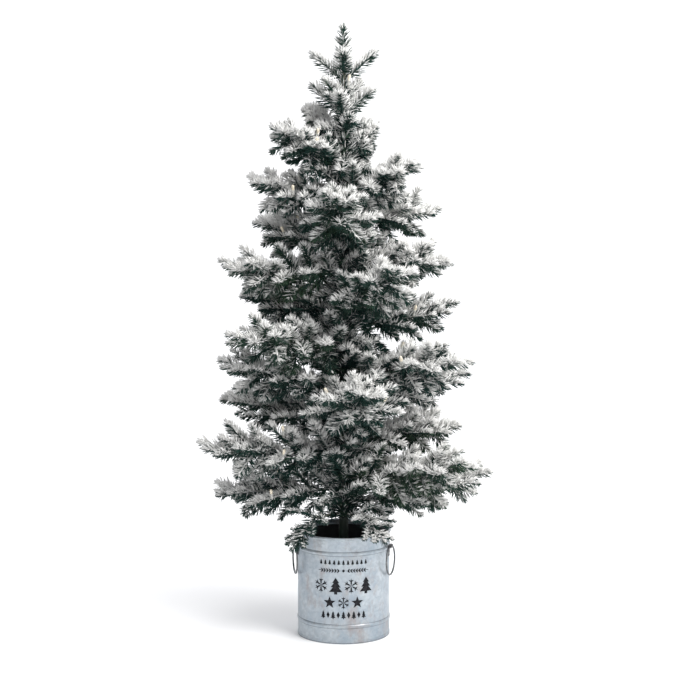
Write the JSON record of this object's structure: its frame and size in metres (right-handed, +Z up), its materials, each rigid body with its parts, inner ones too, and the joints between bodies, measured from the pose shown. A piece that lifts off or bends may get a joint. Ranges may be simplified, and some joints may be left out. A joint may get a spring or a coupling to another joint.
{
  "type": "artificial tabletop tree",
  "caption": "Slim flocked artificial fir with a string of small lamps, standing in a beaded galvanised bucket with ring handles.",
  "frame": {"origin": "centre of the bucket base on the surface it stands on", "axes": "+Z up along the trunk, -Y the front, +X to the right seen from the front"},
  "size_m": [0.5678, 0.5227, 1.208],
  "materials": {
    "galvanised": "mottled galvanised, satin",
    "wire_steel": "dull zinc wire",
    "strap_steel": "dark zinc strap",
    "liner": "matte black",
    "cement": "rough cast",
    "tube_green": "dark green, satin",
    "plug": "matte",
    "tape": "matte wrap",
    "needles": "matte, flocked",
    "cable": "matte",
    "lamp": "glossy"
  },
  "bodies": {
    "bucket": {"bucket_wall": "galvanised", "rim_wire": "wire_steel", "bucket_bottom": "galvanised", "side_seam": "galvanised", "ear_left": "strap_steel", "ear_right": "strap_steel", "ear_rivets": "wire_steel", "liner_pot": "liner", "ballast": "cement", "pole_socket": "tube_green"},
    "handle_left": {"ring_left": "wire_steel"},
    "handle_right": {"ring_right": "wire_steel"},
    "tree": {"trunk_pole": "tube_green", "pole_foot": "plug", "trunk_reducer": "plug", "trunk_top": "tube_green", "branch_collars": "tape", "leader": "needles", "light_wire": "cable", "crown_lamp": "lamp"},
    "bough_01": {"branch_01": "needles"},
    "bough_02": {"branch_02": "needles", "lamps_02": "lamp"},
    "bough_03": {"branch_03": "needles"},
    "bough_04": {"branch_04": "needles"},
    "bough_05": {"branch_05": "needles", "lamps_05": "lamp"},
    "bough_06": {"branch_06": "needles"},
    "bough_07": {"branch_07": "needles"},
    "bough_08": {"branch_08": "needles", "lamps_08": "lamp"},
    "bough_09": {"branch_09": "needles"},
    "bough_10": {"branch_10": "needles"},
    "bough_11": {"branch_11": "needles", "lamps_11": "lamp"},
    "bough_12": {"branch_12": "needles"},
    "bough_13": {"branch_13": "needles"},
    "bough_14": {"branch_14": "needles", "lamps_14": "lamp"},
    "bough_15": {"branch_15": "needles"},
    "bough_16": {"branch_16": "needles"},
    "bough_17": {"branch_17": "needles", "lamps_17": "lamp"},
    "bough_18": {"branch_18": "needles"},
    "bough_19": {"branch_19": "needles"},
    "bough_20": {"branch_20": "needles", "lamps_20": "lamp"},
    "bough_21": {"branch_21": "needles"},
    "bough_22": {"branch_22": "needles"},
    "bough_23": {"branch_23": "needles", "lamps_23": "lamp"},
    "bough_24": {"branch_24": "needles"},
    "bough_25": {"branch_25": "needles"},
    "bough_26": {"branch_26": "needles", "lamps_26": "lamp"},
    "bough_27": {"branch_27": "needles"},
    "bough_28": {"branch_28": "needles"},
    "skirt_bough_left": {"skirt_branch_left": "needles"},
    "skirt_bough_right": {"skirt_branch_right": "needles"}
  },
  "joints": [
    {"name": "handle_left_swing", "type": "hinge", "parent": "bucket", "child": "handle_left", "pos_m": [-0.09789, -0.01726, 0.1851], "axis": [-0.1736, 0.9848, 0], "range_deg": [0, 150]},
    {"name": "handle_right_swing", "type": "hinge", "parent": "bucket", "child": "handle_right", "pos_m": [0.0948, -0.02989, 0.1851], "axis": [-0.3007, -0.9537, 0], "range_deg": [0, 150]},
    {"name": "lift_tree", "type": "slide", "parent": "bucket", "child": "tree", "axis": [0, 0, 1], "range_m": [0, 0.21]},
    {"name": "stem_bend_01", "type": "hinge", "parent": "tree", "child": "bough_01", "pos_m": [0.01584, 0.00223, 0.268], "axis": [0.1392, -0.9903, 0], "range_deg": [-10, 7]},
    {"name": "stem_bend_02", "type": "hinge", "parent": "tree", "child": "bough_02", "pos_m": [-0.01591, 0.00167, 0.2953], "axis": [0.1045, 0.9945, 0], "range_deg": [-10, 13.5]},
    {"name": "stem_bend_03", "type": "hinge", "parent": "tree", "child": "bough_03", "pos_m": [0.01399, -0.00776, 0.3226], "axis": [-0.4848, -0.8746, 0], "range_deg": [-7.5, 12]},
    {"name": "stem_bend_04", "type": "hinge", "parent": "tree", "child": "bough_04", "pos_m": [0.00041, 0.01599, 0.3499], "axis": [0.9997, -0.0258, 0], "range_deg": [-10, 14]},
    {"name": "stem_bend_05", "type": "hinge", "parent": "tree", "child": "bough_05", "pos_m": [-0.01503, -0.00547, 0.3772], "axis": [-0.342, 0.9397, 0], "range_deg": [-10, 8]},
    {"name": "stem_bend_06", "type": "hinge", "parent": "tree", "child": "bough_06", "pos_m": [0.01596, 0.00112, 0.4045], "axis": [0.0698, -0.9976, 0], "range_deg": [-10, 14]},
    {"name": "stem_bend_07", "type": "hinge", "parent": "tree", "child": "bough_07", "pos_m": [-0.0145, 0.00676, 0.4318], "axis": [0.4226, 0.9063, 0], "range_deg": [-8, 7.5]},
    {"name": "stem_bend_08", "type": "hinge", "parent": "tree", "child": "bough_08", "pos_m": [0.00238, -0.01582, 0.4591], "axis": [-0.9889, -0.1488, 0], "range_deg": [-10, 14]},
    {"name": "stem_bend_09", "type": "hinge", "parent": "tree", "child": "bough_09", "pos_m": [0.01438, 0.00701, 0.4864], "axis": [0.4384, -0.8988, 0], "range_deg": [-10, 14]},
    {"name": "stem_bend_10", "type": "hinge", "parent": "tree", "child": "bough_10", "pos_m": [-0.01545, -0.00414, 0.5137], "axis": [-0.2588, 0.9659, 0], "range_deg": [-10, 6]},
    {"name": "stem_bend_11", "type": "hinge", "parent": "tree", "child": "bough_11", "pos_m": [0.01399, -0.00776, 0.541], "axis": [-0.4848, -0.8746, 0], "range_deg": [-10, 13]},
    {"name": "stem_bend_12", "type": "hinge", "parent": "tree", "child": "bough_12", "pos_m": [-0.0051, 0.01516, 0.5683], "axis": [0.9478, 0.3188, 0], "range_deg": [-10, 14]},
    {"name": "stem_bend_13", "type": "hinge", "parent": "tree", "child": "bough_13", "pos_m": [-0.01226, -0.01029, 0.5956], "axis": [-0.6428, 0.766, 0], "range_deg": [-10, 14]},
    {"name": "stem_bend_14", "type": "hinge", "parent": "tree", "child": "bough_14", "pos_m": [0.01538, 0.00441, 0.6229], "axis": [0.2756, -0.9613, 0], "range_deg": [-10, 14]},
    {"name": "stem_bend_15", "type": "hinge", "parent": "tree", "child": "bough_15", "pos_m": [-0.01513, 0.00521, 0.6502], "axis": [0.3256, 0.9455, 0], "range_deg": [-10, 9.5]},
    {"name": "stem_bend_16", "type": "hinge", "parent": "tree", "child": "bough_16", "pos_m": [0.00766, -0.01405, 0.6775], "axis": [-0.8778, -0.479, 0], "range_deg": [-10, 14]},
    {"name": "stem_bend_17", "type": "hinge", "parent": "tree", "child": "bough_17", "pos_m": [0.00384, 0.01553, 0.7048], "axis": [0.9708, -0.2398, 0], "range_deg": [-10, 14]},
    {"name": "stem_bend_18", "type": "hinge", "parent": "tree", "child": "bough_18", "pos_m": [-0.01538, -0.00441, 0.7321], "axis": [-0.2756, 0.9613, 0], "range_deg": [-6.5, 14]},
    {"name": "stem_bend_19", "type": "hinge", "parent": "tree", "child": "bough_19", "pos_m": [0.0158, -0.0025, 0.7594], "axis": [-0.1564, -0.9877, 0], "range_deg": [-10, 14]},
    {"name": "stem_bend_20", "type": "hinge", "parent": "tree", "child": "bough_20", "pos_m": [-0.01357, 0.00848, 0.7867], "axis": [0.5299, 0.848, 0], "range_deg": [-10, 14]},
    {"name": "stem_bend_21", "type": "hinge", "parent": "tree", "child": "bough_21", "pos_m": [-0.00107, -0.01596, 0.814], "axis": [-0.9978, 0.067, 0], "range_deg": [-10, 14]},
    {"name": "stem_bend_22", "type": "hinge", "parent": "tree", "child": "bough_22", "pos_m": [0.01438, 0.00701, 0.8413], "axis": [0.4384, -0.8988, 0], "range_deg": [-10, 14]},
    {"name": "stem_bend_23", "type": "hinge", "parent": "tree", "child": "bough_23", "pos_m": [-0.016, -0.00028, 0.8686], "axis": [-0.0175, 0.9998, 0], "range_deg": [-10, 14]},
    {"name": "stem_bend_24", "type": "hinge", "parent": "tree", "child": "bough_24", "pos_m": [0.0145, -0.00676, 0.8959], "axis": [-0.4226, -0.9063, 0], "range_deg": [-10, 14]},
    {"name": "stem_bend_25", "type": "hinge", "parent": "tree", "child": "bough_25", "pos_m": [-0.00173, 0.01591, 0.9232], "axis": [0.9942, 0.1079, 0], "range_deg": [-10, 14]},
    {"name": "stem_bend_26", "type": "hinge", "parent": "tree", "child": "bough_26", "pos_m": [-0.01438, -0.00701, 0.9505], "axis": [-0.4384, 0.8988, 0], "range_deg": [-10, 14]},
    {"name": "stem_bend_27", "type": "hinge", "parent": "tree", "child": "bough_27", "pos_m": [0.01571, 0.00305, 0.9778], "axis": [0.1908, -0.9816, 0], "range_deg": [-10, 14]},
    {"name": "stem_bend_28", "type": "hinge", "parent": "tree", "child": "bough_28", "pos_m": [-0.01367, 0.00831, 1.0051], "axis": [0.5193, 0.8546, 0], "range_deg": [-10, 14]},
    {"name": "stem_bend_left", "type": "hinge", "parent": "tree", "child": "skirt_bough_left", "pos_m": [-0.01091, -0.0117, 0.246], "axis": [-0.7314, 0.682, 0], "range_deg": [-4, 10.5]},
    {"name": "stem_bend_right", "type": "hinge", "parent": "tree", "child": "skirt_bough_right", "pos_m": [0.00824, -0.01371, 0.246], "axis": [-0.8572, -0.515, 0], "range_deg": [-4, 14]}
  ]
}
